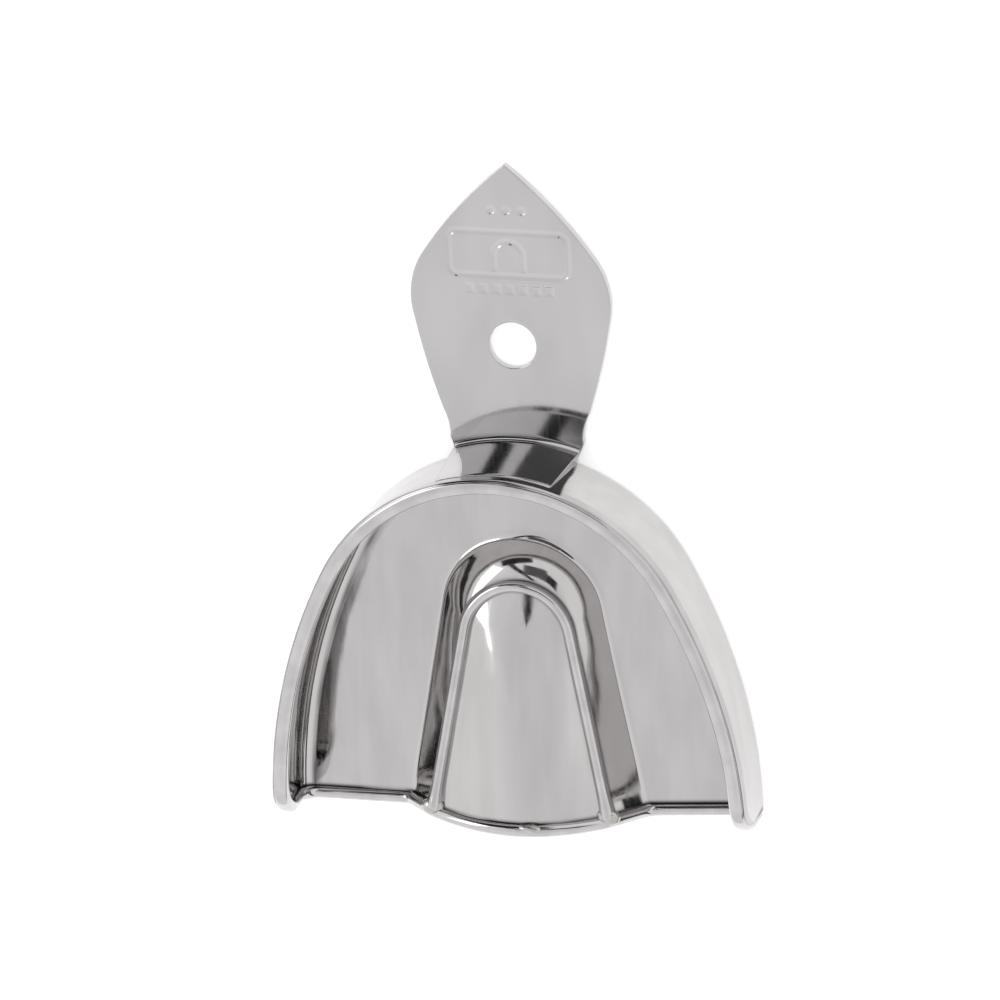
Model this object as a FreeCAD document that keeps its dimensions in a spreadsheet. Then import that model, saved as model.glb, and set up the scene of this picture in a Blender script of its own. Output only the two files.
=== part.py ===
import FreeCAD, Part
import Sketcher
import math
import os

# Upper impression tray, millimetres. The tray lies on its floor with the trough open upwards (+Z),
# the handle points along +Y and the tray is the same left and right of the YZ plane.

doc = FreeCAD.newDocument("impression_tray")
V = FreeCAD.Vector

driving = {
    "half_width": 34.0,         # outer face of the outer wall at the heels
    "arch_length": 52.4,        # posterior border to the front of the outer wall
    "front_radius": 28.0,       # plan radius of the front of the arch
    "sheet_thickness": 0.9,     # pressed stainless sheet
    "fold_radius": 3.0,         # outside radius between floor and outer wall
    "wall_heel": 12.6,          # outer wall height at the posterior border
    "wall_front": 16.0,         # outer wall height at the handle
    "vault_tip": 39.1,          # front of the palatal vault where it leaves the floor
    "vault_radius": 11.6,       # plan radius of the vault's front at the floor
    "ridge_tip": 33.0,          # front of the palatal wire
    "ridge_radius": 7.7,        # plan radius of the palatal wire's front
    "splay": 10.8,              # degrees that each side of the vault opens towards the back
    "ridge_back": 5.7,          # height of the vault's ridge at the posterior border
    "ridge_fall": 0.045,        # drop of the ridge per millimetre towards the front
    "crown_section": 28.0,      # radius of the palate across the tray
    "crown_length": 170.0,      # radius of the palate's crown line from back to front
    "crown_peak": 8.8,          # highest point of the palate
    "crown_back": 6.5,          # how far behind the posterior border the crown line peaks
    "vault_drop": 1.0,          # underside of the vault below its upper face
    "palate_bow": 1.0,          # bow of the palate's posterior border
    "bead_width": 2.2,          # rim bead, across
    "bead_height": 1.9,         # rim bead, top to bottom
    "bead_rise": 0.25,          # rim bead above the edge of the sheet
    "border_radius": 0.9,       # posterior length of the border wire
    "border_set": 0.5,          # its centre line behind the edge of the sheet
    "palatal_radius": 0.85,     # palatal wire
    "handle_thickness": 1.2,
    "handle_slope": 2.5,        # degrees that the handle rises towards its tip
    "handle_root": 53.4,        # outer face of the tab, at the crease
    "handle_length": 40.4,      # crease to tip, along the handle
    "handle_hole": 13.8,        # crease to the centre of the hanging hole
    "hole_radius": 3.35,
    "neck_half": 9.6,           # half width of the handle at the crease
    "shoulder_half": 14.3,      # greatest half width of the handle
    "tab_height": 14.2,
    "tab_half_top": 8.4,        # half width of the tab at its upper edge
    "braze_half": 8.4,          # half width of the braze under the tab
    "blob_long": 1.7,
    "blob_wide": 1.3,
    "blob_high": 0.9,
    "joint_long": 1.9,
    "joint_wide": 0.7,
}

sheet = doc.addObject("Spreadsheet::Sheet", "sizes")
for line, (alias, value) in enumerate(driving.items(), 1):
    sheet.set("A%d" % line, alias)
    sheet.set("B%d" % line, str(value))
    sheet.setAlias("B%d" % line, alias)
doc.recompute()


def size(alias):
    return float(sheet.get(alias))


def add(kind, name, **expressions):
    piece = doc.addObject(kind, name)
    for prop, expression in expressions.items():
        piece.setExpression(prop, expression.replace("$", "sizes."))
    return piece


def shape_feature(name, shape):
    piece = doc.addObject("Part::Feature", name)
    piece.Shape = shape
    return piece


def boolean(kind, name, base, tool):
    piece = doc.addObject(kind, name)
    piece.Base = base
    piece.Tool = tool
    piece.Refine = True
    return piece


# ---------------------------------------------------------------- outlines


def arch_wire(inset, z, back=-6.0):
    """Arch outline: a front arc, two side arcs that end square to the back, and straight heels."""
    half = size("half_width") - inset
    length = size("arch_length") - inset
    front = size("front_radius") - inset
    centre = length - front
    side = (half ** 2 + centre ** 2 - front ** 2) / (2 * half - 2 * front)
    side_centre = half - side
    reach = math.hypot(side_centre, centre)
    meet_x = side_centre - side_centre * side / reach
    meet_y = centre * side / reach
    turn = math.atan2(meet_y, meet_x - side_centre) / 2
    mid_x = side_centre + side * math.cos(turn)
    mid_y = side * math.sin(turn)
    edges = [
        Part.LineSegment(V(half, back, z), V(half, 0, z)).toShape(),
        Part.Arc(V(half, 0, z), V(mid_x, mid_y, z), V(meet_x, meet_y, z)).toShape(),
        Part.Arc(V(meet_x, meet_y, z), V(0, length, z), V(-meet_x, meet_y, z)).toShape(),
        Part.Arc(V(-meet_x, meet_y, z), V(-mid_x, mid_y, z), V(-half, 0, z)).toShape(),
        Part.LineSegment(V(-half, 0, z), V(-half, back, z)).toShape(),
        Part.LineSegment(V(-half, back, z), V(half, back, z)).toShape(),
    ]
    return Part.Wire(edges)


def vault_edges(tip, radius, height, back=-6.0):
    """One level of the vault: a round front and two straight sides. height(y) gives Z."""
    splay = math.radians(size("splay"))
    centre = tip - radius
    x = radius * math.cos(splay)
    y = centre + radius * math.sin(splay)
    back_x = x + (y - back) * math.tan(splay)
    left = [V(-back_x, back, height(back)), V(-x, y, height(y))]
    right = [V(x, y, height(y)), V(back_x, back, height(back))]
    front = V(0, tip, height(tip))
    return [
        Part.LineSegment(left[0], left[1]).toShape(),
        Part.Arc(left[1], front, right[0]).toShape(),
        Part.LineSegment(right[0], right[1]).toShape(),
    ]


def vault_level(share):
    """The closed outline of the vault at a share of the way from the floor (0) to the ridge (1)."""
    tip = size("vault_tip") + share * (size("ridge_tip") - size("vault_tip"))
    radius = size("vault_radius") + share * (size("ridge_radius") - size("vault_radius"))
    base = size("sheet_thickness") + share * (size("ridge_back") - size("sheet_thickness"))
    fall = share * size("ridge_fall")
    edges = vault_edges(tip, radius, lambda y: base - fall * y)
    start = edges[0].Vertexes[0].Point
    finish = edges[2].Vertexes[-1].Point
    return Part.Wire(edges + [Part.LineSegment(finish, start).toShape()])


def ridge_height(y):
    return size("ridge_back") - size("ridge_fall") * y


# ---------------------------------------------------------------- pressed shell


def under_wall_top(rise, depth):
    """A block whose top face is the sloping plane of the rim, raised by rise."""
    heel = size("wall_heel") + rise
    slope = (size("wall_front") - size("wall_heel")) / size("arch_length")
    back, front = -10.0, 70.0
    low = heel + slope * back
    high = heel + slope * front
    side = Part.makePolygon([
        V(-50, back, low - depth), V(-50, front, high - depth),
        V(-50, front, high), V(-50, back, low), V(-50, back, low - depth),
    ])
    return Part.Face(side).extrude(V(100, 0, 0))


def pan_outside():
    """Everything inside the outer face of the floor and the outer wall."""
    block = Part.Face(arch_wire(0, 0)).extrude(V(0, 0, 24))
    return block.makeFillet(size("fold_radius"), floor_edges(block, 0))


def pressed_pan():
    thickness = size("sheet_thickness")
    inner = Part.Face(arch_wire(thickness, thickness, -8.0)).extrude(V(0, 0, 26))
    inner = inner.makeFillet(size("fold_radius") - thickness, floor_edges(inner, thickness))
    return pan_outside().cut(inner)


def floor_edges(block, z):
    """The edges of the block's bottom face, without the straight one at the back."""
    found = []
    for edge in block.Edges:
        box = edge.BoundBox
        flat = abs(box.ZMin - z) < 1e-6 and abs(box.ZMax - z) < 1e-6
        if flat and box.YMax > -1e-6 and (box.YLength > 1e-6):
            found.append(edge)
    return found


def vault_block():
    low = vault_level(-0.4)
    high = vault_level(1.6)
    sides = Part.makeLoft([low, high], True, True)
    section = size("crown_section")
    sweep = size("crown_length")
    centre = V(0, -size("crown_back"), size("crown_peak") - sweep)
    crown = Part.makeTorus(sweep - section, section, centre, V(1, 0, 0))
    return sides.common(crown)


def posterior_trim():
    """Plan of the tray behind which the sheet is trimmed: straight heels and a bowed palate."""
    splay = math.radians(size("splay"))
    radius = size("ridge_radius")
    ridge_y = size("ridge_tip") - radius + radius * math.sin(splay)
    half = radius * math.cos(splay) + ridge_y * math.tan(splay)
    wide = size("half_width") + 6
    far = size("arch_length") + 10
    edges = [
        Part.LineSegment(V(-wide, far, -5), V(-wide, 0, -5)).toShape(),
        Part.LineSegment(V(-wide, 0, -5), V(-half, 0, -5)).toShape(),
        Part.Arc(V(-half, 0, -5), V(0, -size("palate_bow"), -5), V(half, 0, -5)).toShape(),
        Part.LineSegment(V(half, 0, -5), V(wide, 0, -5)).toShape(),
        Part.LineSegment(V(wide, 0, -5), V(wide, far, -5)).toShape(),
        Part.LineSegment(V(wide, far, -5), V(-wide, far, -5)).toShape(),
    ]
    return Part.Face(Part.Wire(edges)).extrude(V(0, 0, 40)), half


def tray_shell():
    hill = vault_block()
    hollow = hill.copy()
    hollow.translate(V(0, 0, -size("vault_drop")))
    above_table = Part.makeBox(100, 100, 30, V(-50, -20, 0))
    shell = pressed_pan().fuse(hill.common(above_table)).cut(hollow)
    trim, _ = posterior_trim()
    return shell.common(trim).common(under_wall_top(0, 40)).removeSplitter()


# ---------------------------------------------------------------- wires


def tube(points, radius):
    """Round wire along straight runs, with a ball at each bend."""
    pieces = []
    for start, finish in zip(points, points[1:]):
        run = finish - start
        pieces.append(Part.makeCylinder(radius, run.Length, start, run))
    for point in points[1:-1]:
        pieces.append(Part.makeSphere(radius, point))
    return pieces


def rim_bead():
    band = Part.Face(arch_wire(0, 0, -0.4)).extrude(V(0, 0, 30))
    band = band.cut(Part.Face(arch_wire(size("bead_width"), -1, -8.0)).extrude(V(0, 0, 32)))
    band = band.common(under_wall_top(size("bead_rise"), size("bead_height")))
    return band


def border_wire(shell):
    """One wire round the whole edge: rim bead, heels, floor borders and the palate's border."""
    radius = size("border_radius")
    back = -size("border_set")
    _, ridge_half = posterior_trim()
    splay = math.radians(size("splay"))
    vault_y = size("vault_tip") - size("vault_radius") * (1 - math.sin(splay))
    vault_half = size("vault_radius") * math.cos(splay) + vault_y * math.tan(splay)
    heel_x = size("half_width") - radius
    heel_top = size("wall_heel") - size("bead_height") / 2
    ridge = size("ridge_back") + 0.2
    bead = rim_bead()
    parts = []
    for side in (-1, 1):
        parts += tube([
            V(side * heel_x, back, heel_top),
            V(side * heel_x, back, radius + 1.6),
            V(side * (heel_x - 1.6), back, radius),
            V(side * vault_half, back, radius),
            V(side * ridge_half, back, ridge),
        ], radius)
        parts.append(Part.makeSphere(radius, V(side * heel_x, back, heel_top)))
        parts.append(Part.makeSphere(radius, V(side * ridge_half, back, ridge)))
    crown = V(0, back - size("palate_bow"), size("crown_peak") - 0.45)
    arch = Part.Arc(V(-ridge_half, back, ridge), crown, V(ridge_half, back, ridge))
    start = arch.StartPoint
    ring = Part.makeCircle(radius, start, arch.tangent(arch.FirstParameter)[0])
    parts.append(Part.Wire([arch.toShape()]).makePipeShell([Part.Wire([ring])], True, False))
    whole = bead.fuse(parts)
    return whole.cut(shell).removeSplitter()


def palatal_wire(shell, border):
    edges = vault_edges(size("ridge_tip"), size("ridge_radius"), lambda y: ridge_height(y) + 0.35, 0.6)
    path = Part.Wire(edges)
    start = edges[0].Vertexes[0].Point
    along = edges[0].Vertexes[1].Point - start
    ring = Part.Wire([Part.makeCircle(size("palatal_radius"), start, along)])
    return path.makePipeShell([ring], True, False).cut(shell).cut(border).removeSplitter()


# ---------------------------------------------------------------- handle


def origin_plane(body, role):
    return [feature for feature in body.Origin.OriginFeatures if feature.Role == role][0]


def half_outline(side):
    """One side of the handle from tip to crease, as four arcs of three points each."""
    length = size("handle_length")
    wide = size("shoulder_half")
    neck = size("neck_half")
    points = [
        (0, length), (0.45 * wide, 0.85 * length), (0.89 * wide, 0.65 * length),
        (wide, 0.52 * length), (0.975 * wide, 0.43 * length),
        (0.87 * wide, 0.265 * length), (1.08 * neck, 0.095 * length),
        (neck, 0.03 * length), (neck, -0.02 * length),
    ]
    return [V(side * x, y, 0) for x, y in points]


def handle_plate():
    """Flat spade-shaped plate with its hanging hole, drawn in its own plane with the crease at Y 0."""
    body = doc.addObject("PartDesign::Body", "handle_plate")
    sketch = body.newObject("Sketcher::SketchObject", "handle_outline")
    sketch.AttachmentSupport = [(origin_plane(body, "XY_Plane"), "")]
    sketch.MapMode = "FlatFace"
    right, left = half_outline(1), half_outline(-1)
    for side in (right, left):
        for first in range(0, len(side) - 1, 2):
            sketch.addGeometry(Part.Arc(*side[first:first + 3]), False)
    sketch.addGeometry(Part.LineSegment(right[-1], left[-1]), False)
    circle = Part.Circle(V(0, size("handle_hole"), 0), V(0, 0, 1), size("hole_radius"))
    hole = sketch.addGeometry(circle, False)
    row = sketch.addConstraint(Sketcher.Constraint("Radius", hole, size("hole_radius")))
    sketch.setExpression("Constraints[%d]" % row, "sizes.hole_radius")
    pad = body.newObject("PartDesign::Pad", "handle_pad")
    pad.Profile = sketch
    pad.setExpression("Length", "sizes.handle_thickness")
    body.Tip = pad
    slope = FreeCAD.Rotation(V(1, 0, 0), size("handle_slope"))
    body.Placement = FreeCAD.Placement(V(0, size("handle_root"), 0), slope)
    return body


def handle_tab():
    """Tab that stands on the crease and follows the front of the outer wall."""
    centre = size("arch_length") - size("front_radius")
    outer = add("Part::Cylinder", "tab_outer", Height="$tab_height", Radius="$handle_root - %g" % centre)
    inner = add("Part::Cylinder", "tab_inner", Height="$tab_height", Radius="$front_radius")
    for cylinder in (outer, inner):
        cylinder.Placement.Base = V(0, centre, 0)
    ring = boolean("Part::Cut", "tab_ring", outer, inner)
    root, top, high = size("neck_half") - 0.5, size("tab_half_top"), size("tab_height")
    y = centre + 0.5 * size("front_radius")
    corners = [V(-root, y, 0), V(root, y, 0), V(top, y, high), V(-top, y, high), V(-root, y, 0)]
    front = shape_feature("tab_front", Part.Face(Part.makePolygon(corners)))
    taper = add("Part::Extrusion", "tab_taper", LengthFwd="$front_radius")
    taper.Base = front
    taper.Dir = V(0, 1, 0)
    taper.DirMode = "Custom"
    tab = doc.addObject("Part::MultiCommon", "tab")
    tab.Shapes = [ring, taper]
    return tab


def handle():
    plate = handle_plate()
    tab = handle_tab()
    joined = doc.addObject("Part::MultiFuse", "handle_joined")
    joined.Shapes = [plate, tab]
    joined.Refine = True
    below = add("Part::Box", "below_table", Length="4 * $neck_half", Width="$handle_length", Height="4")
    below.Placement.Base = V(-2 * size("neck_half"), size("arch_length") - 10, -4)
    return boolean("Part::Cut", "handle_whole", joined, below)


# ---------------------------------------------------------------- braze and solder


def handle_braze(pan, whole_handle):
    """Filler metal in the wedge between the tab, the handle's root and the fold of the wall."""
    centre = size("arch_length") - size("front_radius")
    wedge = add("Part::Cylinder", "braze_wedge", Height="$fold_radius", Radius="$front_radius + 0.35")
    wedge.Placement.Base = V(0, centre, 0)
    slab = add("Part::Box", "braze_slab", Length="2 * $braze_half", Width="10", Height="$fold_radius")
    slab.Placement.Base = V(-size("braze_half"), size("arch_length") - 5.5, 0)
    fill = doc.addObject("Part::MultiCommon", "braze_fill")
    fill.Shapes = [wedge, slab]
    fitted = boolean("Part::Cut", "braze_against_pan", fill, pan)
    return boolean("Part::Cut", "braze_against_handle", fitted, whole_handle)


def blob(name, place, long, wide, high, *neighbours):
    """An oval run of solder, cut back to the pieces that it joins."""
    oval = add("Part::Ellipsoid", name + "_oval", Radius1=high, Radius2=long, Radius3=wide)
    oval.Placement.Base = place
    for neighbour in neighbours:
        oval = boolean("Part::Cut", "%s_on_%s" % (name, neighbour.Name), oval, neighbour)
    return oval


# ---------------------------------------------------------------- assembly

shell = shape_feature("shell", tray_shell())
border = shape_feature("border", border_wire(shell.Shape))
palatal = shape_feature("palatal", palatal_wire(shell.Shape, border.Shape))
whole_handle = handle()
braze = handle_braze(shape_feature("pan", pan_outside()), whole_handle)
_, ridge_half = posterior_trim()
back = -size("border_set")
solder_height = size("ridge_back") + 0.5
pieces = {
    "tray_shell": shell,
    "border_wire": border,
    "palatal_wire": palatal,
    "handle": whole_handle,
    "handle_braze": braze,
    "border_joint_solder": blob(
        "joint", V(size("joint_long"), back - size("palate_bow") + 0.4, size("crown_peak") + 0.1),
        "$joint_long", "$joint_wide", "$joint_wide", shell, border),
    "palatal_solder_left": blob(
        "left", V(-ridge_half, 0.3, solder_height), "$blob_long", "$blob_wide", "$blob_high",
        shell, border, palatal),
    "palatal_solder_right": blob(
        "right", V(ridge_half, 0.3, solder_height), "$blob_long", "$blob_wide", "$blob_high",
        shell, border, palatal),
}
doc.recompute()

for item in doc.Objects:
    if "Invalid" in item.State or "Error" in item.State:
        raise RuntimeError("%s did not build: %s" % (item.Name, item.State))

# The tray stands with the middle of its footprint on the origin.
boxes = [piece.Shape.optimalBoundingBox() for piece in pieces.values()]
middle_y = (min(box.YMin for box in boxes) + max(box.YMax for box in boxes)) / 2
os.makedirs("parts", exist_ok=True)
for name, piece in pieces.items():
    node = shape_feature(name, piece.Shape)
    node.Label = name
    node.Placement = FreeCAD.Placement(V(0, -middle_y, 0), FreeCAD.Rotation())
    if node.Shape.isNull() or not node.Shape.isValid() or len(node.Shape.Solids) != 1:
        raise RuntimeError("%s is not one valid solid" % name)
    node.Shape.exportStep("parts/%s.step" % name)
    print(name, round(node.Shape.Volume, 1), node.Shape.optimalBoundingBox())
print("middle of the footprint is", round(middle_y, 3), "mm in front of the posterior border")
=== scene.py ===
import math

import bmesh
import bpy
import numpy as np
from mathutils import Matrix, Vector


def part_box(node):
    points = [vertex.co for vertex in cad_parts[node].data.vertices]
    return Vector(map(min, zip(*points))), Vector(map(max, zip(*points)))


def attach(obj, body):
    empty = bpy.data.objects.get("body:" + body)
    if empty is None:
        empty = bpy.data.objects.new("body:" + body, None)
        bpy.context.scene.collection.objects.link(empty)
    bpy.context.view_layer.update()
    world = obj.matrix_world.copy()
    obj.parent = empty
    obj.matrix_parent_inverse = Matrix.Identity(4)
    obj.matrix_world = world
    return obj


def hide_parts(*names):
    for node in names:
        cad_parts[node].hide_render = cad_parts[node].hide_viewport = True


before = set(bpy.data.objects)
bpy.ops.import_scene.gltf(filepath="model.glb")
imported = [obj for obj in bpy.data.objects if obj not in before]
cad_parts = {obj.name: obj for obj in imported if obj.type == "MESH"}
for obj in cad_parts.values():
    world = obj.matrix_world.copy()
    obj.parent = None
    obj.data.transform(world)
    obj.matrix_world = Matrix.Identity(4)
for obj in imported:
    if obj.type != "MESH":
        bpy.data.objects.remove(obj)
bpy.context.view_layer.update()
print("frame loaded:", len(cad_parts), "nodes")

# Shapes are worked out in millimetres on the tray's own axes: Y 0 is the posterior border,
# +Y runs to the handle and Z 0 is the table. onFrame carries them to the frame, in metres.

shell = {
    "length": 52.4,         # posterior border to the front of the outer wall
    "frontRadius": 28.0,    # plan radius of the front of the arch
    "sheet": 0.9,           # thickness of the pressed sheet
    "foldRadius": 2.1,      # inside radius between floor and outer wall
    "wallHeel": 12.6,       # wall height at the border
    "wallFront": 16.0,      # wall height at the handle
    "heelRound": 4.2,       # rounding of the wall's upper corner at the heel
    "vaultTip": 39.1,       # front of the vault at the floor
    "vaultRadius": 11.6,    # its plan radius there
    "ridgeTip": 33.0,       # front of the palatal wire's line
    "ridgeRadius": 7.7,     # its plan radius
    "splay": 10.8,          # degrees that each side of the vault opens backwards
    "ridgeBack": 5.7,       # height of the wire's line at the border
    "ridgeFall": 0.045,     # its drop per millimetre towards the front
    "crown": 2.95,          # rise of the palate's middle above the wire's line at the border
    "crownBelly": 2.0,      # how long the crown keeps its height before it falls to the tip
    "vaultSlope": 0.9,      # rise over run where the vault leaves the floor
    "foldSide": 1.6,        # radius of the fold there, at the sides
    "foldFront": 3.0,       # and at the front
    "spineShare": 0.8,      # where the palate's mesh rows meet its middle, as a share of their Y
    "spineTip": 2.4,        # and how far behind the tip the foremost one does
    "bow": 1.0,             # bow of the palate's border
    "bowFade": 13.0,        # how far in from the border the bow reaches
    "trim": 1.5,            # how much shorter the right heel is cut than the left one
    "trimFrom": 12.0,       # half width at which that starts
    "trimFade": 35.0,       # how far in from the border it reaches
    "frontShare": 0.44,     # share of the mesh rows that the front arc takes
    "along": 300,           # mesh rows round the arch
}
shellSpans = {              # mesh faces across the sheet, from the rim to the palate's middle
    "wall": 27,
    "wallFold": 12,
    "floor": 15,
    "vaultFold": 13,
    "vaultSide": 18,
    "palate": 33,
}

shellLow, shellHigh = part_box("tray_shell")
halfWidth = shellHigh.x * 1000
backY = shellLow.y * 1000 + shell["bow"]


def onFrame(points):
    # points + (0, border, 0), then / 1000
    return (points + np.array([0.0, backY, 0.0])) / 1000


def asTrimmed(points):
    # y + trim across ahead, both shares running from 0 to 1
    across = np.clip((points[:, 0] - shell["trimFrom"]) / (halfWidth - shell["trimFrom"]), 0, 1)
    ahead = np.clip(1 - points[:, 1] / shell["trimFade"], 0, 1)
    shift = shell["trim"] * across * ahead ** 2 * (3 - 2 * ahead)
    return points + shift[:, None] * np.array([0.0, 1.0, 0.0])


def stack(x, y, z):
    # arrays of x, y and z to one array of points
    return np.stack(np.broadcast_arrays(x, y, z), axis=-1)


def unit(vectors):
    # v divided by its length
    return vectors / np.linalg.norm(vectors, axis=-1, keepdims=True)


def mix(a, b, share):
    # a + share (b - a)
    return a + share * (b - a)


def gridFaces(rows, columns, loopRows, loopColumns, first=0):
    # corner (i, j) has index first + i columns + j; a looped side joins its end to its start
    i = np.arange(rows if loopRows else rows - 1)[:, None]
    j = np.arange(columns if loopColumns else columns - 1)[None, :]
    iNext, jNext = (i + 1) % rows, (j + 1) % columns
    corners = [i * columns + j, i * columns + jNext, iNext * columns + jNext, iNext * columns + j]
    return np.stack([c + 0 * (i + j) for c in corners], axis=-1).reshape(-1, 4) + first


def makePiece(name, points, faces, material, paintedCreviceShade=None):
    # the weight per point is 1 where shade is painted into a corner as near black, standing in for the
    # shadow and dark reflections there, and 0 on open metal
    mesh = bpy.data.meshes.new(name)
    mesh.from_pydata(onFrame(asTrimmed(points.reshape(-1, 3))).tolist(), [], faces)
    if paintedCreviceShade is not None:
        layer = mesh.attributes.new("paintedCreviceShade", "FLOAT", "POINT")
        layer.data.foreach_set("value", paintedCreviceShade.reshape(-1).astype(np.float32))
    work = bmesh.new()
    work.from_mesh(mesh)
    bmesh.ops.remove_doubles(work, verts=work.verts, dist=2e-7)
    bmesh.ops.recalc_face_normals(work, faces=work.faces)
    work.to_mesh(mesh)
    work.free()
    mesh.polygons.foreach_set("use_smooth", np.ones(len(mesh.polygons), bool))
    mesh.materials.append(material)
    piece = bpy.data.objects.new(name, mesh)
    bpy.context.scene.collection.objects.link(piece)
    return piece


def standFor(piece, node):
    # the piece rides on the tray's one body in place of the CAD node
    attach(piece, "root")
    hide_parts(node)
    print(piece.name, len(piece.data.polygons), "faces")


# The plan curves run from s = -1 at the left heel through 0 at the front to 1 at the right heel.

def archShare(s):
    # how far along the front arc, and how far up the side arc from the heel
    frontShare = shell["frontShare"]
    front = np.clip(np.abs(s) / frontShare, 0, 1)
    side = np.clip((1 - np.abs(s)) / (1 - frontShare), 0, 1)
    return front, side, np.sign(s)


def archCurve(s, inset):
    # side arc about (sideCentre, 0) and front arc about (0, frontCentre), which share a tangent
    front, side, sign = archShare(s)
    frontCentre = shell["length"] - shell["frontRadius"]
    spread = 2 * (halfWidth - shell["frontRadius"])
    sideRadius = (halfWidth ** 2 + frontCentre ** 2 - shell["frontRadius"] ** 2) / spread
    sideCentre = halfWidth - sideRadius
    turn = math.atan2(frontCentre, -sideCentre)
    onSide = front >= 1
    angle = np.where(onSide, turn * side, math.pi / 2 - front * (math.pi / 2 - turn))
    radius = np.where(onSide, sideRadius, shell["frontRadius"]) - inset
    x = np.where(onSide, sideCentre, 0) + radius * np.cos(angle)
    y = np.where(onSide, 0, frontCentre) + radius * np.sin(angle)
    return sign * x, y, sign * np.cos(angle), np.sin(angle)


def vaultCurve(s, share):
    # a round front of the given radius with two straight sides, between floor (0) and ridge (1)
    front, side, sign = archShare(s)
    splay = math.radians(shell["splay"])
    tip = mix(shell["vaultTip"], shell["ridgeTip"], share)
    radius = mix(shell["vaultRadius"], shell["ridgeRadius"], share)
    angle = math.pi / 2 - front * (math.pi / 2 - splay)
    x = radius * np.cos(angle)
    y = tip - radius + radius * np.sin(angle)
    run = np.where(front >= 1, (1 - side) * y, 0)
    return sign * (x + run * math.tan(splay)), y - run


def ridgeHeight(y):
    # back - fall y
    return shell["ridgeBack"] - shell["ridgeFall"] * y


def crownRise(y):
    # crown (1 - t) (1 + belly t), t being the share of the way to the tip
    t = y / shell["ridgeTip"]
    return shell["crown"] * (1 - t) * (1 + shell["crownBelly"] * t)


def wallTop(y):
    # straight line from the heel to the handle, less a quarter circle at the heel
    short = np.clip(shell["heelRound"] - y, 0, shell["heelRound"])
    drop = shell["heelRound"] - np.sqrt(shell["heelRound"] ** 2 - short ** 2)
    return mix(shell["wallHeel"], shell["wallFront"], y / shell["length"]) - drop


def srgb(hexColour):
    # each channel c: c / 12.92 when dark, else ((c + 0.055) / 1.055) ^ 2.4
    channels = [int(hexColour[i:i + 2], 16) / 255 for i in (1, 3, 5)]
    return [c / 12.92 if c <= 0.04045 else ((c + 0.055) / 1.055) ** 2.4 for c in channels] + [1.0]


def addNode(tree, kind, settings=None, links=None):
    # settings go to properties or sockets by name, links are {input: (node, output)}
    node = tree.nodes.new(kind)
    for key, value in (settings or {}).items():
        if isinstance(key, str) and hasattr(node, key):
            setattr(node, key, value)
        else:
            node.inputs[key].default_value = value
    for key, (source, output) in (links or {}).items():
        tree.links.new(source.outputs[output], node.inputs[key])
    return node


def perMetre(millimetres):
    # pattern repeats per metre for a feature of this size
    return 1000 / millimetres


stamps = {
    "dotPitch": 2.2,        # millimetres, for this and the rest
    "dotAt": 87.0,          # distance of the row of dots from the posterior border
    "dotRadius": 0.55,
    "archAt": 80.3,         # the arch sign's round part is centred here
    "archRadius": 2.1,
    "archLeg": 1.9,
    "frameAt": 80.6,        # the rounded frame round it
    "frameWide": 7.2,       # half its straight width
    "frameHigh": 1.9,
    "frameRadius": 1.3,
    "tickAt": 75.4,         # the row of ticks
    "tickPitch": 1.9,
    "tickWide": 0.5,        # half of each tick
    "tickHigh": 0.6,
    "stroke": 0.32,         # half width of a struck line
    "edge": 0.28,           # how far a struck edge slopes
    "depth": 0.12,
}


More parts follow.
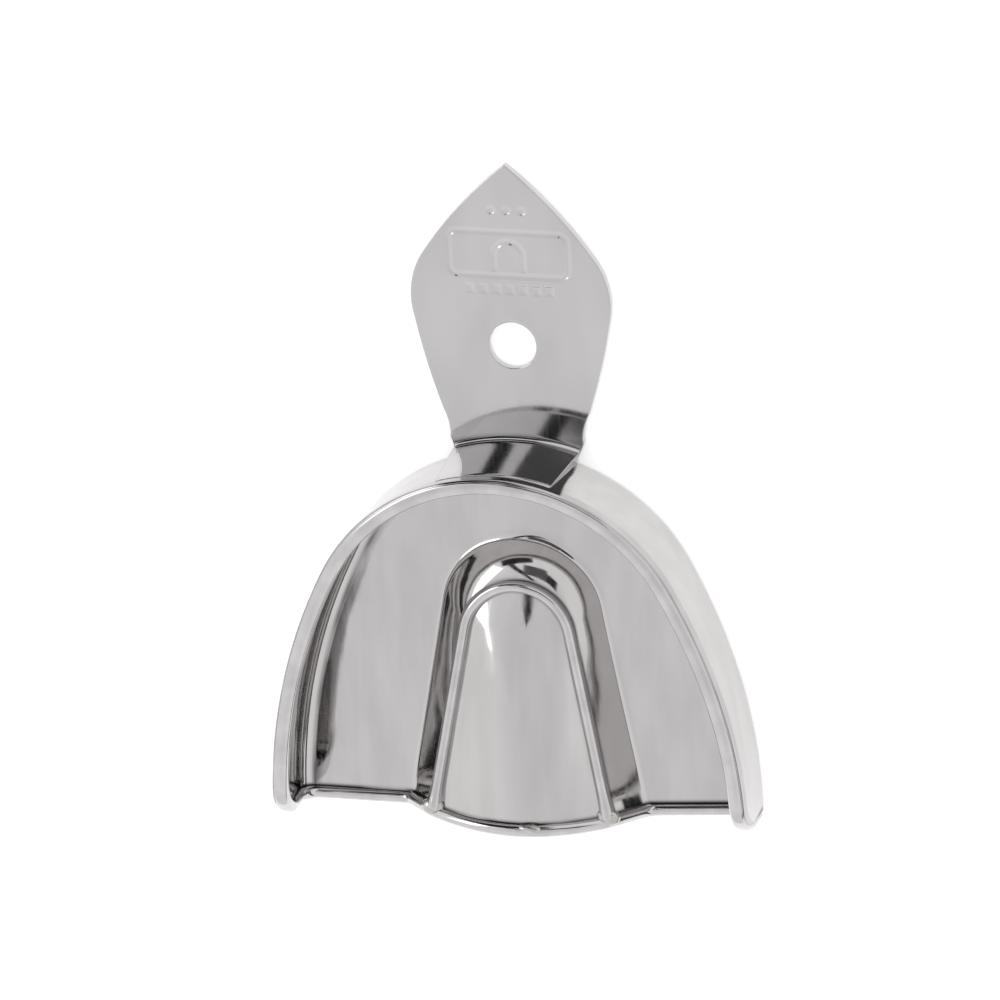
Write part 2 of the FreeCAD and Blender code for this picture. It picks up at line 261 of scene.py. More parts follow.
def stampHeight(tree, place):
    # three dots, an arch in a rounded frame and a row of ticks, struck into the handle: each is the
    # distance to its line less the stroke, in millimetres, and the nearest one counts
    steps = {
        "x": ("MULTIPLY", "X", 1000.0),
        "yFrame": ("MULTIPLY", "Y", 1000.0),
        "y": ("SUBTRACT", "yFrame", backY),
        "dotCell": ("DIVIDE", "x", stamps["dotPitch"]),
        "dotLeft": ("MAXIMUM", "dotCell", -1.0),
        "dotKept": ("MINIMUM", "dotLeft", 1.0),
        "dotRound": ("ROUND", "dotKept"),
        "dotStep": ("MULTIPLY", "dotRound", stamps["dotPitch"]),
        "dotX": ("SUBTRACT", "x", "dotStep"),
        "dotY": ("SUBTRACT", "y", stamps["dotAt"]),
        "dotXX": ("MULTIPLY", "dotX", "dotX"),
        "dotYY": ("MULTIPLY", "dotY", "dotY"),
        "dotSum": ("ADD", "dotXX", "dotYY"),
        "dotFar": ("SQRT", "dotSum"),
        "dot": ("SUBTRACT", "dotFar", stamps["dotRadius"]),
        "archY": ("SUBTRACT", "y", stamps["archAt"]),
        "archUp": ("MAXIMUM", "archY", 0.0),
        "archXX": ("MULTIPLY", "x", "x"),
        "archYY": ("MULTIPLY", "archUp", "archUp"),
        "archSum": ("ADD", "archXX", "archYY"),
        "archFar": ("SQRT", "archSum"),
        "archOff": ("SUBTRACT", "archFar", stamps["archRadius"]),
        "archLine": ("ABSOLUTE", "archOff"),
        "archDown": ("SUBTRACT", -stamps["archLeg"], "archY"),
        "archNear": ("MAXIMUM", "archLine", "archDown"),
        "arch": ("SUBTRACT", "archNear", stamps["stroke"]),
        "frameX": ("ABSOLUTE", "x"),
        "frameOutX": ("SUBTRACT", "frameX", stamps["frameWide"]),
        "frameRightX": ("MAXIMUM", "frameOutX", 0.0),
        "frameMidY": ("SUBTRACT", "y", stamps["frameAt"]),
        "frameY": ("ABSOLUTE", "frameMidY"),
        "frameOutY": ("SUBTRACT", "frameY", stamps["frameHigh"]),
        "frameTopY": ("MAXIMUM", "frameOutY", 0.0),
        "frameXX": ("MULTIPLY", "frameRightX", "frameRightX"),
        "frameYY": ("MULTIPLY", "frameTopY", "frameTopY"),
        "frameSum": ("ADD", "frameXX", "frameYY"),
        "frameFar": ("SQRT", "frameSum"),
        "frameOff": ("SUBTRACT", "frameFar", stamps["frameRadius"]),
        "frameLine": ("ABSOLUTE", "frameOff"),
        "frame": ("SUBTRACT", "frameLine", stamps["stroke"]),
        "tickCell": ("DIVIDE", "x", stamps["tickPitch"]),
        "tickLeft": ("MAXIMUM", "tickCell", -3.0),
        "tickKept": ("MINIMUM", "tickLeft", 3.0),
        "tickRound": ("ROUND", "tickKept"),
        "tickStep": ("MULTIPLY", "tickRound", stamps["tickPitch"]),
        "tickX": ("SUBTRACT", "x", "tickStep"),
        "tickOffX": ("ABSOLUTE", "tickX"),
        "tickOutX": ("SUBTRACT", "tickOffX", stamps["tickWide"]),
        "tickY": ("SUBTRACT", "y", stamps["tickAt"]),
        "tickOffY": ("ABSOLUTE", "tickY"),
        "tickOutY": ("SUBTRACT", "tickOffY", stamps["tickHigh"]),
        "tick": ("MAXIMUM", "tickOutX", "tickOutY"),
        "signs": ("MINIMUM", "dot", "arch"),
        "lines": ("MINIMUM", "frame", "tick"),
        "all": ("MINIMUM", "signs", "lines"),
    }
    split = addNode(tree, "ShaderNodeSeparateXYZ", None, {0: (place, "Object")})
    made = {"X": (split, "X"), "Y": (split, "Y")}
    for label, (operation, *inputs) in steps.items():
        numbers = {k: value for k, value in enumerate(inputs) if not isinstance(value, str)}
        wires = {k: made[value] for k, value in enumerate(inputs) if isinstance(value, str)}
        made[label] = (addNode(tree, "ShaderNodeMath", {"operation": operation, **numbers}, wires), 0)
    return addNode(tree, "ShaderNodeMapRange",
                   {"interpolation_type": "SMOOTHSTEP", "From Min": -stamps["edge"],
                    "From Max": stamps["edge"], "To Min": 0.0, "To Max": 1.0}, {"Value": made["all"]})


def steelMaterial(name, look):
    # one family of bright metals: grain runs along the stretched axis, haze and pits vary the gloss
    material = bpy.data.materials.new(name)
    material.use_nodes = True
    tree = material.node_tree
    tree.nodes.clear()
    place = addNode(tree, "ShaderNodeTexCoord")
    stretched = addNode(tree, "ShaderNodeMapping", {"Scale": look["stretch"]},
                        {"Vector": (place, "Object")})
    grain = addNode(tree, "ShaderNodeTexNoise", {"Scale": perMetre(look["grain"]), "Detail": 3.0},
                    {"Vector": (stretched, 0)})
    wiped = addNode(tree, "ShaderNodeMapping", {"Scale": look["wipe"]}, {"Vector": (place, "Object")})
    haze = addNode(tree, "ShaderNodeTexNoise", {"Scale": perMetre(look["haze"]), "Detail": 2.0},
                   {"Vector": (wiped, 0)})
    hazeShare = addNode(tree, "ShaderNodeMapRange",
                        {"From Min": 0.36, "From Max": 0.64, "To Min": 0.0, "To Max": 1.0},
                        {"Value": (haze, 0)})
    swell = addNode(tree, "ShaderNodeTexNoise", {"Scale": perMetre(look["swell"]), "Detail": 1.0},
                    {"Vector": (place, "Object")})
    pits = addNode(tree, "ShaderNodeTexVoronoi", {"Scale": perMetre(look["pits"])},
                   {"Vector": (place, "Object")})
    pitDepth = addNode(tree, "ShaderNodeMapRange",
                       {"From Min": 0.04, "From Max": 0.16, "To Min": 0.0, "To Max": 1.0},
                       {"Value": (pits, "Distance")})
    tint = addNode(tree, "ShaderNodeMix", {"data_type": "RGBA"}, {0: (hazeShare, 0)})
    tint.inputs[6].default_value = srgb(look["colour"])
    tint.inputs[7].default_value = srgb(look["shade"])
    # painted shade: the per-point weight, varied in patches, mixes the colour towards near black
    # (#1c1b1b) in corners beside wires, folds and creases
    paintedShade = addNode(tree, "ShaderNodeAttribute", {"attribute_name": "paintedCreviceShade"})
    patchy = addNode(tree, "ShaderNodeMapRange",
                     {"From Min": 0.35, "From Max": 0.6, "To Min": 0.55, "To Max": 1.1},
                     {"Value": (swell, 0)})
    paintedShadeShare = addNode(tree, "ShaderNodeMath", {"operation": "MULTIPLY"},
                   {0: (paintedShade, "Fac"), 1: (patchy, 0)})
    paintedShadeColour = addNode(tree, "ShaderNodeMix", {"data_type": "RGBA"}, {0: (paintedShadeShare, 0), 6: (tint, 2)})
    paintedShadeColour.inputs[7].default_value = srgb("#1c1b1b")
    gloss = addNode(tree, "ShaderNodeMapRange",
                    {"From Min": 0.3, "From Max": 0.7,
                     "To Min": look["rough"][0], "To Max": look["rough"][1]},
                    {"Value": (grain, 0)})
    wave = addNode(tree, "ShaderNodeBump", {"Strength": 1.0, "Distance": look["swellDepth"] / 1000},
                   {"Height": (swell, 0)})
    scratch = addNode(tree, "ShaderNodeBump", {"Strength": 1.0, "Distance": look["grainDepth"] / 1000},
                      {"Height": (grain, 0), "Normal": (wave, 0)})
    pitted = addNode(tree, "ShaderNodeBump", {"Strength": 1.0, "Distance": look["pitDepth"] / 1000},
                     {"Height": (pitDepth, 0), "Normal": (scratch, 0)})
    if look.get("stamped"):
        pitted = addNode(tree, "ShaderNodeBump", {"Strength": 1.0, "Distance": stamps["depth"] / 1000},
                         {"Height": (stampHeight(tree, place), 0), "Normal": (pitted, 0)})
    shader = addNode(tree, "ShaderNodeBsdfPrincipled", {"Metallic": 1.0},
                     {"Base Color": (paintedShadeColour, 2), "Roughness": (gloss, 0), "Normal": (pitted, 0)})
    addNode(tree, "ShaderNodeOutputMaterial", None, {"Surface": (shader, 0)})
    return material


# pressed stainless steel, buffed to a mirror: soft swells from the press and hairline wipe marks
pressedSteel = steelMaterial("pressedSteelMirror", {
    "colour": "#cbc8c8", "shade": "#c4c1c1", "stretch": (1.0, 0.12, 1.0), "grain": 0.5, "haze": 3.5,
    "wipe": (1.0, 0.22, 1.0), "swell": 7.0, "swellDepth": 0.11, "grainDepth": 0.0004,
    "pits": 4.0, "pitDepth": 0.0006,
    "rough": (0.05, 0.12)})
# cold rolled stainless strip for the handle, buffed lengthwise: flatter and a little softer in gloss
handleSteel = steelMaterial("rolledSteelBuffed", {
    "colour": "#cccaca", "shade": "#c4c2c2", "stretch": (1.0, 0.08, 1.0), "grain": 0.4, "haze": 9.0,
    "wipe": (1.0, 0.5, 1.0),
    "swell": 24.0, "swellDepth": 0.2, "grainDepth": 0.0003, "pits": 5.0, "pitDepth": 0.0006,
    "rough": (0.05, 0.09), "stamped": True})
# drawn stainless wire, polished after it was soldered on: smooth with fine marks across it
wireSteel = steelMaterial("drawnWirePolished", {
    "colour": "#cfcdcd", "shade": "#c3c1c1", "stretch": (1.0, 1.0, 1.0), "grain": 0.35, "haze": 4.0,
    "wipe": (1.0, 1.0, 1.0),
    "swell": 5.0, "swellDepth": 0.02, "grainDepth": 0.0006, "pits": 2.5, "pitDepth": 0.001,
    "rough": (0.06, 0.13)})
# silver brazing alloy, cleaned and wiped over with the wheel: warmer, with small gas pits
silverBraze = steelMaterial("silverBrazeDressed", {
    "colour": "#c9c7c4", "shade": "#b2b0ac", "stretch": (1.0, 1.0, 1.0), "grain": 0.25, "haze": 1.5,
    "wipe": (1.0, 1.0, 1.0),
    "swell": 1.6, "swellDepth": 0.03, "grainDepth": 0.002, "pits": 0.7, "pitDepth": 0.01,
    "rough": (0.12, 0.3)})
print("materials made")


def acrossSpan(span):
    # even shares 0, 1/n, 2/n and so on, without the 1, which the next span starts with
    faces = shellSpans[span]
    return np.linspace(0, 1, faces + 1)[None, :-1]


def shellSurface():
    # rows run round the arch, columns run from the rim down the wall, over the floor, up the vault
    # and over the palate to its middle; left and right share the middle
    even = np.linspace(-1, 1, shell["along"] + 1)[:, None]
    s = even * (1.35 - 0.35 * even ** 2)        # rows closer together at the heels
    sheet, fold = shell["sheet"], shell["foldRadius"]
    x0, y0, nx, ny = archCurve(s, 0)

    down = acrossSpan("wall")
    wallZ = mix(wallTop(y0), sheet + fold, down)
    wall = stack(x0 - sheet * nx, y0 - sheet * ny, wallZ)

    roll = math.pi / 2 * acrossSpan("wallFold")
    inset = sheet + fold * (1 - np.cos(roll))
    wallFold = stack(x0 - inset * nx, y0 - inset * ny, sheet + fold * (1 - np.sin(roll)))

    bx, by = vaultCurve(s, 0)
    rx, ry = vaultCurve(s, 1)
    planRun = np.hypot(rx - bx, ry - by)
    ex, ey = (rx - bx) / planRun, (ry - by) / planRun
    ridge = ridgeHeight(ry)
    front, _, _ = archShare(s)
    soft = mix(shell["foldSide"], shell["foldFront"], 0.5 + 0.5 * np.cos(math.pi * front))
    slope = math.atan(shell["vaultSlope"])
    tangent = soft * math.tan(slope / 2)

    across = acrossSpan("floor")
    startX, startY = x0 - (sheet + fold) * nx, y0 - (sheet + fold) * ny
    endX, endY = bx - tangent * ex, by - tangent * ey
    floor = stack(mix(startX, endX, across), mix(startY, endY, across), sheet + 0 * across + 0 * s)

    bend = slope * acrossSpan("vaultFold")
    reach = -tangent + soft * np.sin(bend)
    vaultFold = stack(bx + reach * ex, by + reach * ey, sheet + soft * (1 - np.cos(bend)))

    # from the fold to the wire the face eases off as a parabola: z = d (slope + (mean - slope) d / run)
    climb = acrossSpan("vaultSide")
    foldRun, foldRise = tangent * math.cos(slope), tangent * math.sin(slope)
    run = planRun - foldRun
    mean = (ridge - sheet - foldRise) / run
    rise = run * climb * (shell["vaultSlope"] + (mean - shell["vaultSlope"]) * climb)
    reach = foldRun + run * climb
    vaultSide = stack(bx + reach * ex, by + reach * ey, sheet + foldRise + rise)

    # rows from the sides meet the middle at spineShare of their own Y, and the front rows fan out
    sideEnd = shell["spineShare"] * vaultCurve(np.array([shell["frontShare"]]), 1)[1][0]
    fan = mix(shell["ridgeTip"] - shell["spineTip"], sideEnd, front)
    middleY = np.where(front >= 1, shell["spineShare"] * ry, fan)
    inward = np.linspace(0, 1, shellSpans["palate"] + 1)[None, :]
    palateX = mix(rx, 0, inward)
    palateY = mix(ry, middleY, inward)
    palateZ = ridgeHeight(palateY) + crownRise(palateY) * palateRise(palateX, palateY)
    fade = np.clip(1 - palateY / shell["bowFade"], 0, 1) ** 2
    palateY = palateY - shell["bow"] * (1 - (1 - inward) ** 2) * fade
    palate = stack(palateX, palateY, palateZ)
    return np.concatenate([wall, wallFold, floor, vaultFold, vaultSide, palate], axis=1)


def shellPaintedShade(surface):
    # painted shade beside the wires and along the wall's fold: full where a wire covers the sheet, then a
    # bell curve beyond its edge
    alongRow = np.linalg.norm(np.diff(surface, axis=1), axis=2)
    fromRim = np.concatenate([0 * alongRow[:, :1], np.cumsum(alongRow, axis=1)], axis=1)
    fromRidge = np.abs(fromRim - fromRim[:, ridgeColumn:ridgeColumn + 1])
    alongColumn = np.linalg.norm(np.diff(surface, axis=0), axis=2)
    fromHeel = np.concatenate([0 * alongColumn[:1], np.cumsum(alongColumn, axis=0)])
    fromBorder = np.minimum(fromHeel, fromHeel[-1:] - fromHeel)
    fromFold = np.abs(fromRim - fromRim[:, foldColumn:foldColumn + 1])
    beside = [(fromRim, 1.65, 0.25, 0.25), (fromRidge, 0.75, 0.28, 0.9),
              (fromBorder, 0.4, 0.35, 0.9), (fromFold, 0.0, 0.4, 0.75)]
    paintedShade = [share * np.exp(-(np.clip(far - edge, 0, None) / reach) ** 2)
               for far, edge, reach, share in beside]
    return np.max(paintedShade, axis=0)


def palateRise(x, y):
    # 1 - (x / half width at y)^2, the half width being the wire's line
    splay = math.radians(shell["splay"])
    radius = shell["ridgeRadius"]
    centre = shell["ridgeTip"] - radius
    tangentY = centre + radius * math.sin(splay)
    straight = radius * math.cos(splay) + (tangentY - y) * math.tan(splay)
    rounded = np.sqrt(np.clip(radius ** 2 - (y - centre) ** 2, 1e-6, None))
    half = np.where(y < tangentY, straight, rounded)
    return np.clip(1 - (x / half) ** 2, 0, 1)


surface = shellSurface()
rows, columns = surface.shape[:2]
ridgeColumn = columns - 1 - shellSpans["palate"]
foldColumn = shellSpans["wall"] + shellSpans["wallFold"] - 1    # just above the floor
trayShell = makePiece("trayShell", surface, gridFaces(rows, columns, False, False).tolist(),
                      pressedSteel, shellPaintedShade(surface))
if trayShell.data.polygons[0].normal.x < 0:      # the left wall's inner face looks towards +X
    trayShell.data.flip_normals()
thicken = trayShell.modifiers.new("sheetThickness", "SOLIDIFY")
thicken.thickness = shell["sheet"] / 1000
thicken.offset = -1.0
standFor(trayShell, "tray_shell")


def sweep(path, side, lift, wide, high, power, ring):
    # path + side wide c + lift high d, where (c, d) runs round a circle squared up by power
    turn = np.linspace(0, 2 * math.pi, ring, endpoint=False)[None, :]
    c = np.sign(np.cos(turn)) * np.abs(np.cos(turn)) ** (2 / power)
    d = np.sign(np.sin(turn)) * np.abs(np.sin(turn)) ** (2 / power)
    return path[:, None] + side[:, None] * (wide * c)[..., None] + lift[:, None] * (high * d)[..., None]


def roundOff(values, step, reach):
    # a closed run of values averaged with its neighbours, by a bell curve of the given reach
    count = len(values)
    distance = np.minimum(np.arange(count), count - np.arange(count)) * step
    bell = np.exp(-0.5 * (distance / reach) ** 2)
    spectrum = np.fft.fft(bell / bell.sum())
    columnsToo = [1] * (values.ndim - 1)
    blurred = np.fft.fft(values, axis=0) * spectrum.reshape(-1, *columnsToo)
    return np.real(np.fft.ifft(blurred, axis=0))


border = {
    "beadWide": 2.2,        # rim bead, across
    "beadHigh": 1.9,        # rim bead, top to bottom
    "beadRise": 0.25,       # rim bead above the edge of the sheet
    "beadSquare": 2.7,      # 2 is round, more is squarer
    "radius": 0.9,          # the round wire along the posterior border
    "middleRadius": 1.02,   # a little fuller over the palate
    "set": 0.5,             # its centre behind the edge of the sheet
    "corner": 0.75,         # how far its corners are rounded
    "step": 0.3,            # spacing of the sections along it
}


def borderPath():
    # a closed run: round the rim, down the right heel, along the border over the palate, up the left heel
    s = np.linspace(-1, 1, 240)
    half = border["beadWide"] / 2
    x, y, _, _ = archCurve(s, half)
    rim = stack(x, y, wallTop(y) + border["beadRise"] - border["beadHigh"] / 2)
    rim[0, 1] = rim[-1, 1] = -border["set"]

    radius, back = border["radius"], -border["set"]
    heelX = halfWidth - radius
    vaultX, _ = vaultCurve(np.array([1.0]), 0)
    ridgeX, _ = vaultCurve(np.array([1.0]), 1)
    foot = np.array([
        [heelX, back, shell["wallHeel"] - shell["heelRound"] - 1.5], [heelX, back, 2.6],
        [heelX - 1.7, back, radius],
        [vaultX[0] + 0.3, back, radius], [ridgeX[0], back, shell["ridgeBack"] + 0.1],
    ])
    share = np.linspace(-1, 1, 60)[1:-1]
    arch = stack(-share * ridgeX[0], back - shell["bow"] * (1 - share ** 2),
                 shell["ridgeBack"] + 0.1 + (shell["crown"] - 0.2) * (1 - share ** 2))
    mirror = foot[::-1] * np.array([-1.0, 1.0, 1.0])
    corners = np.concatenate([rim, foot, arch, mirror])
    closed = np.concatenate([corners, corners[:1]])
    travelled = np.concatenate([[0], np.cumsum(np.linalg.norm(np.diff(closed, axis=0), axis=1))])
    count = int(travelled[-1] / border["step"])
    at = np.linspace(0, travelled[-1], count, endpoint=False)
    path = np.stack([np.interp(at, travelled, closed[:, k]) for k in range(3)], axis=1)
    onRim = (at < travelled[len(rim) - 1]).astype(float)
    return path, onRim, travelled[-1] / count


path, onRim, step = borderPath()
path = roundOff(path, step, border["corner"])
onRim = roundOff(onRim, step, 1.4)[:, None]
tangent = unit(np.roll(path, -1, axis=0) - np.roll(path, 1, axis=0))
steepness = np.abs(tangent[:, 2:])
lift = mix(np.array([0.0, -1.0, 0.0]), np.array([0.0, 0.0, 1.0]), onRim * (1 - steepness))
side = unit(np.cross(lift, tangent))
lift = np.cross(tangent, side)
overPalate = np.clip(1 - np.abs(path[:, :1]) / 11, 0, 1) * (1 - onRim)
roundRadius = mix(border["radius"], border["middleRadius"], overPalate)
wire = sweep(path, side, lift, mix(roundRadius, border["beadWide"] / 2, onRim),
             mix(roundRadius, border["beadHigh"] / 2, onRim), mix(2.0, border["beadSquare"], onRim), 28)
borderWire = makePiece("borderWire", wire, gridFaces(*wire.shape[:2], True, True).tolist(), wireSteel)
standFor(borderWire, "border_wire")

palatal = {
    "radius": 0.85,
    "proud": 0.35,      # its centre above the ridge of the vault
    "flare": 0.35,      # how much fuller the soldered ends are
    "flareRun": 2.2,    # length of the flare
}


def palatalWireSurface():
    # the ridge line raised by proud, with a round section that grows towards both ends
    s = np.linspace(-1, 1, 260)
    x, y = vaultCurve(s, 1)
    y = np.maximum(y, 0.15)
    path = stack(x, y, ridgeHeight(y) + palatal["proud"])
    tangent = unit(np.gradient(path, axis=0))
    side = unit(np.cross(tangent, np.array([0.0, 0.0, 1.0])))
    lift = np.cross(side, tangent)
    radius = palatal["radius"] + palatal["flare"] * np.exp(-(y / palatal["flareRun"]) ** 2)[:, None]
    return sweep(path, side, lift, radius, radius, 2.0, 24)


def cappedTube(surface):
    # the tube's sides, and at each end a fan about the middle of the end
    rows, columns = surface.shape[:2]
    middles = np.stack([surface[0].mean(axis=0), surface[-1].mean(axis=0)])
    j = np.arange(columns)
    nextJ = (j + 1) % columns
    firstMiddle = rows * columns + 0 * j
    last = (rows - 1) * columns
    firstEnd = np.stack([firstMiddle, nextJ, j], axis=1)
    lastEnd = np.stack([firstMiddle + 1, last + j, last + nextJ], axis=1)
    faces = gridFaces(rows, columns, False, True).tolist() + firstEnd.tolist() + lastEnd.tolist()
    return np.concatenate([surface.reshape(-1, 3), middles]), faces


palatalWire = makePiece("palatalWire", *cappedTube(palatalWireSurface()), wireSteel)
standFor(palatalWire, "palatal_wire")


handle = {
    "thick": 1.2,
    "slope": 2.5,           # degrees that the plate rises towards its tip
    "root": 53.4,           # outer face of the tab
    "length": 40.4,         # crease to tip
    "shoulder": 14.3,       # greatest half width
    "neck": 9.6,            # half width at the crease
    "hole": 13.8,           # crease to the middle of the hole
    "holeRadius": 3.35,
    "tabTop": 14.2,         # height of the tab's upper edge
    "tabHalf": 8.4,         # its half width there
    "tabThin": 0.3,         # thickness that the tab is ground down to at its upper edge
    "level": 5.0,           # how far the plate runs out before it has taken up its slope
    "creaseRadius": 1.3,    # bend radius of the middle of the sheet
    "seam": 0.9,            # how far in front of the bend the two grids of the mesh meet
    "edgeRound": 0.28,      # rounding of the sheared edges
}


def arcThrough(first, middle, last, count):
    # the circle through three points, from the first to the last
    a, b, c = [complex(*p) for p in (first, middle, last)]
    w = (c - a) / (b - a)
    centre = a - (a - b) * (w - abs(w) ** 2) / (2j * w.imag)
    start, finish = np.angle(a - centre), np.angle(c - centre)
    through = np.angle(b - centre)
    turnAll = (finish - start + math.pi) % (2 * math.pi) - math.pi
    turnPart = (through - start + math.pi) % (2 * math.pi) - math.pi
    if turnAll * turnPart < 0:
        turnAll -= math.copysign(2 * math.pi, turnAll)
    angle = start + turnAll * np.linspace(0, 1, count)
    radius = abs(a - centre)
    return np.stack([centre.real + radius * np.cos(angle), centre.imag + radius * np.sin(angle)], axis=1)


def halfOutline():
    # tip to neck, right side, measured from the crease
    length, wide, neck = handle["length"], handle["shoulder"], handle["neck"]
    arcs = [
        ((0, length), (0.45 * wide, 0.85 * length), (0.89 * wide, 0.65 * length)),
        ((0.89 * wide, 0.65 * length), (wide, 0.52 * length), (0.975 * wide, 0.43 * length)),
        ((0.975 * wide, 0.43 * length), (0.87 * wide, 0.265 * length), (1.08 * neck, 0.095 * length)),
        ((1.08 * neck, 0.095 * length), (neck, 0.03 * length), (neck, -0.02 * length)),
    ]
    return np.concatenate([arcThrough(*arc, 60)[:-1] for arc in arcs])


def handleRadii():
    # the front arc's centre, the tab's radius about it, and the radius where the flat of the plate starts
    centre = shell["length"] - shell["frontRadius"]
    stand = handle["root"] - centre - handle["thick"] / 2
    return centre, stand, stand + handle["creaseRadius"]


def handleFold(x, y):
    # flat layout to bent sheet: outside the crease it lies flat, in the crease it turns up by an
    # arc, and inside it stands; q is the radial distance beyond the end of the crease's arc
    centre, stand, flatStart = handleRadii()
    bend = handle["creaseRadius"]
    q = np.hypot(x, y - centre) - flatStart
    bearing = np.arctan2(x, y - centre)
    turn = np.clip(-q / bend, 0, math.pi / 2)
    up = np.maximum(-q - bend * math.pi / 2, 0)
    lean = 0.5 * (handle["thick"] - handle["tabThin"]) * up / tabLength()
    radial = flatStart + np.maximum(q, 0) - bend * np.sin(turn) - lean
    z = handle["thick"] / 2 + bend * (1 - np.cos(turn)) + up
    bentX, bentY = radial * np.sin(bearing), centre + radial * np.cos(bearing)
    run = np.maximum(bentY - flatStart - centre, 0)
    eased = run - handle["level"] * (1 - np.exp(-run / handle["level"]))
    return stack(bentX, bentY, z + math.tan(math.radians(handle["slope"])) * eased)


def tabLength():
    # the tab's straight part, above the crease's arc
    return handle["tabTop"] - handle["thick"] / 2 - handle["creaseRadius"]


def creasePaintedShade(plate, root):
    # painted shade: a bell curve across the crease, and the sheared edges of the tab darkened in place of
    # the dark reflections along them
    centre, _, flatStart = handleRadii()
    paintedShade = []
    for part in (plate, root):
        beyond = np.hypot(part[..., 0], part[..., 1] - centre) - flatStart
        paintedShade.append(np.exp(-((beyond + 0.4) / 0.4) ** 2))
    paintedShade[1][:, [0, -1]] = 0.85
    return np.concatenate([share.reshape(-1) for share in paintedShade])


def evenRun(points, count):
    # points at equal steps along a polyline
    travelled = np.concatenate([[0], np.cumsum(np.linalg.norm(np.diff(points, axis=0), axis=1))])
    at = np.linspace(0, travelled[-1], count)
    return np.stack([np.interp(at, travelled, points[:, k]) for k in range(2)], axis=1)


def handleSurfaces():
    # laid out flat, the plate is rings from the hole to the outline, and the root is rows from the neck
    # to the tab's top
    centre, stand, flatStart = handleRadii()
    right = halfOutline() + np.array([0.0, handle["root"]])
    neckRadius = flatStart + handle["seam"]
    right = right[np.hypot(right[:, 0], right[:, 1] - centre) > neckRadius + 0.05]
    neckBearing = math.asin(handle["neck"] / neckRadius)
    bearing = np.linspace(neckBearing, -neckBearing, 61)
    neckLine = np.stack([neckRadius * np.sin(bearing), centre + neckRadius * np.cos(bearing)], axis=1)
    right = evenRun(np.concatenate([right, neckLine[:1]]), 130)
    left = right[::-1] * np.array([-1.0, 1.0])
    outline = np.concatenate([right[:-1], neckLine, left[1:-1]])

    middle = np.array([0.0, handle["root"] + handle["hole"]])
    towards = unit(outline - middle)
    hole = middle + handle["holeRadius"] * towards
    share = np.concatenate([[0.0, 0.03, 0.07], np.linspace(0.12, 0.88, 18), [0.93, 0.97, 1.0]])
    plate = hole[:, None] + (outline - hole)[:, None] * share[None, :, None]

    flatEnd = flatStart - handle["creaseRadius"] * math.pi / 2
    top = flatEnd - tabLength()
    levels = np.concatenate([np.linspace(neckRadius, flatStart, 4)[:-1],
                             np.linspace(flatStart, flatEnd, 17)[:-1], np.linspace(flatEnd, top, 16)])
    tabBearing = math.asin(handle["tabHalf"] / stand)
    fall = np.clip((neckRadius - levels) / (neckRadius - top), 0, 1)
    half = mix(neckBearing, tabBearing, fall)[:, None]
    turn = np.linspace(1, -1, 61)[None, :] * half
    root = stack(levels[:, None] * np.sin(turn), centre + levels[:, None] * np.cos(turn), 0)[..., :2]
    return plate, root


plate, root = handleSurfaces()
plateBent = handleFold(plate[..., 0], plate[..., 1])
rootBent = handleFold(root[..., 0], root[..., 1])
plateFaces = gridFaces(*plate.shape[:2], True, False)
rootFaces = gridFaces(*root.shape[:2], False, False, first=plateBent[..., 0].size)
sheetPoints = np.concatenate([plateBent.reshape(-1, 3), rootBent.reshape(-1, 3)])
sheetFaces = np.concatenate([plateFaces, rootFaces]).tolist()
handlePiece = makePiece("handlePlate", sheetPoints, sheetFaces, handleSteel, creasePaintedShade(plate, root))
if handlePiece.data.polygons[0].normal.z < 0:
    handlePiece.data.flip_normals()
thicken = handlePiece.modifiers.new("sheetThickness", "SOLIDIFY")
thicken.thickness = handle["thick"] / 1000
thicken.offset = 0.0
full = handlePiece.vertex_groups.new(name="fullThickness")
heights = np.zeros(3 * len(handlePiece.data.vertices), np.float32)
handlePiece.data.vertices.foreach_get("co", heights)
heights = heights.reshape(-1, 3)[:, 2] * 1000
standing = np.clip((heights - handle["tabTop"] + tabLength()) / tabLength(), 0, 1)
shares = np.round(1 - (1 - handle["tabThin"] / handle["thick"]) * standing, 2)
for share in np.unique(shares):
    full.add(np.flatnonzero(shares == share).tolist(), float(share), "REPLACE")
thicken.vertex_group = "fullThickness"
soften = handlePiece.modifiers.new("edgeRound", "BEVEL")
soften.width = handle["edgeRound"] / 1000
soften.segments = 3
soften.limit_method = "ANGLE"
soften.angle_limit = math.radians(50)
soften.harden_normals = False
standFor(handlePiece, "handle")


# Braze and solder keep their own shapes and get their finish.
for nodeName in ("handle_braze", "border_joint_solder", "palatal_solder_left", "palatal_solder_right"):
    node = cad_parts[nodeName]
    node.data.materials.clear()
    node.data.materials.append(silverBraze)
    print(nodeName, "finished")


studio = {
    "toCamera": (0.264, 0.326, 0.9077),     # direction from the tray to the camera
    "lookAt": (0.0, 25.0, 5.0),             # point on the tray that the view is set by
    "offset": (-2.33, 19.65),               # middle of the view from that point, right and up
    "distance": 2056.5,
    "widthThere": 138.6,                    # width of the view at that distance
    "roll": 0.038,                          # radians
    "floorReach": 6.0,                      # metres from the tray to the floor's edge
}


def plainMaterial(name, colour, strength):
    # matt surface that also glows, so that it stays even
    material = bpy.data.materials.new(name)
    material.use_nodes = True
    shader = material.node_tree.nodes["Principled BSDF"]
    black = [0.0, 0.0, 0.0, 1.0]
    shader.inputs["Base Color"].default_value = srgb(colour) if strength < 1 else black
    shader.inputs["Roughness"].default_value = 0.9
    shader.inputs["Emission Color"].default_value = srgb(colour)
    shader.inputs["Emission Strength"].default_value = strength
    return material


def bearingVector(azimuth, elevation):
    # azimuth in degrees from +Y towards +X, elevation above the table
    a, e = math.radians(azimuth), math.radians(elevation)
    return np.array([math.sin(a) * math.cos(e), math.cos(a) * math.cos(e), math.sin(e)])


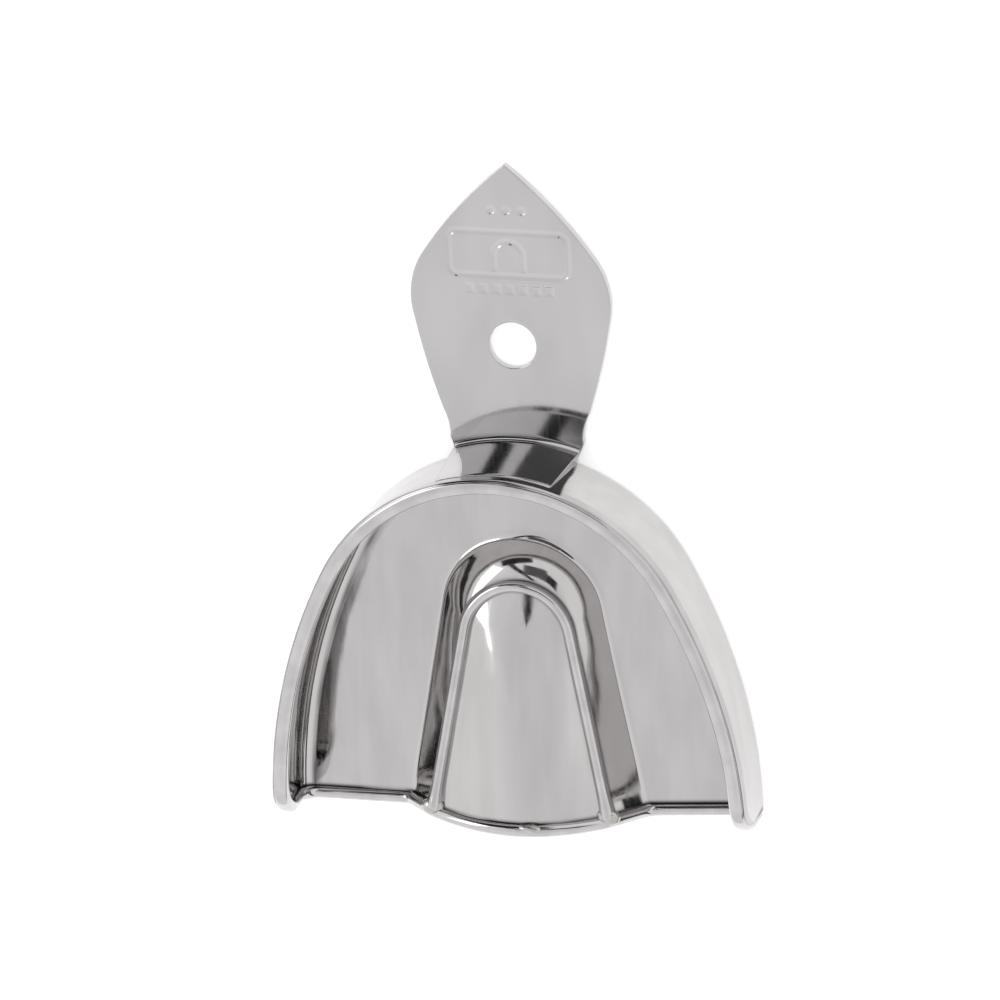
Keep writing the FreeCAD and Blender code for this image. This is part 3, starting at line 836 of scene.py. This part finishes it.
def card(name, azimuth, elevation, wide, high, colour, strength, distance=0.9):
    # a flat card that faces the tray; wide and high are the degrees that it covers
    towards = bearingVector(azimuth, elevation)
    across = unit(np.cross(towards, np.array([0.0, 0.0, 1.0])))
    up = np.cross(across, towards)
    halfWide = math.tan(math.radians(wide / 2)) * distance
    halfHigh = math.tan(math.radians(high / 2)) * distance
    corners = [towards * distance + across * halfWide * i + up * halfHigh * j
               for i, j in ((-1, -1), (1, -1), (1, 1), (-1, 1))]
    mesh = bpy.data.meshes.new(name)
    mesh.from_pydata([list(c) for c in corners], [], [(0, 1, 2, 3)])
    mesh.materials.append(plainMaterial(name + "Face", colour, strength))
    piece = bpy.data.objects.new(name, mesh)
    bpy.context.scene.collection.objects.link(piece)
    piece.visible_camera = False
    piece.visible_shadow = False
    piece.visible_diffuse = False
    return piece


def floorSheet():
    # a wide even sheet under the tray
    reach = studio["floorReach"]
    mesh = bpy.data.meshes.new("floorSheet")
    corners = [(-reach, -reach, 0), (reach, -reach, 0), (reach, reach, 0), (-reach, reach, 0)]
    mesh.from_pydata(corners, [], [(0, 1, 2, 3)])
    mesh.materials.append(plainMaterial("floorPaper", "#f6f6f6", 0.45))
    piece = bpy.data.objects.new("floorSheet", mesh)
    bpy.context.scene.collection.objects.link(piece)
    return piece


floorSheet()
card("cameraShade", 36, 65, 9, 13, "#161616", 0.0, 1.1)
card("ceilingPanel", 2, 65, 24, 17, "#4e4e4e", 0.0, 1.2)
card("blackStripe", -35, 65, 4.5, 30, "#0c0c0c", 0.0, 1.1)
card("frontShade", -23, 33, 30, 38, "#101010", 0.0, 1.15)
card("lowStrip", 104, 17, 90, 11, "#0c0c0c", 0.0, 1.0)
card("softBox", -70, 48, 26, 14, "#ffffff", 3.0, 1.3)

world = bpy.data.worlds.new("studioTent")
world.use_nodes = True
tree = world.node_tree
towards = addNode(tree, "ShaderNodeTexCoord")
height = addNode(tree, "ShaderNodeSeparateXYZ", None, {0: (towards, "Generated")})
ramp = addNode(tree, "ShaderNodeValToRGB", None, {"Fac": (height, "Z")})
ramp.color_ramp.interpolation = "B_SPLINE"
tentTones = ((0.0, 0.95), (0.45, 1.05), (0.72, 1.12), (0.9, 0.88), (1.0, 0.84))
for at, tone in tentTones[1:-1]:
    ramp.color_ramp.elements.new(at)
for element, (at, tone) in zip(ramp.color_ramp.elements, tentTones):
    element.position = at
    element.color = (tone, tone, tone * 1.01, 1.0)
tree.links.new(ramp.outputs["Color"], tree.nodes["Background"].inputs["Color"])
bpy.context.scene.world = world

back = unit(np.array(studio["toCamera"]))
level = unit(np.cross(np.array([0.0, 1.0, 0.0]), back))
upright = np.cross(back, level)
cosRoll, sinRoll = math.cos(studio["roll"]), math.sin(studio["roll"])
right = cosRoll * level - sinRoll * upright
up = sinRoll * level + cosRoll * upright
target = np.array(studio["lookAt"]) + studio["offset"][0] * right + studio["offset"][1] * up
place = onFrame(target + studio["distance"] * back)
cameraData = bpy.data.cameras.new("studioCamera")
cameraData.sensor_width = 36.0
cameraData.lens = 36.0 * studio["distance"] / studio["widthThere"]
cameraData.clip_end = 20.0
camera = bpy.data.objects.new("studioCamera", cameraData)
axes = np.eye(4)
axes[:3, 0], axes[:3, 1], axes[:3, 2], axes[:3, 3] = right, up, back, place
camera.matrix_world = Matrix(axes.tolist())
bpy.context.scene.collection.objects.link(camera)
bpy.context.scene.camera = camera
bpy.context.scene.view_settings.view_transform = "Standard"
print("studio set")
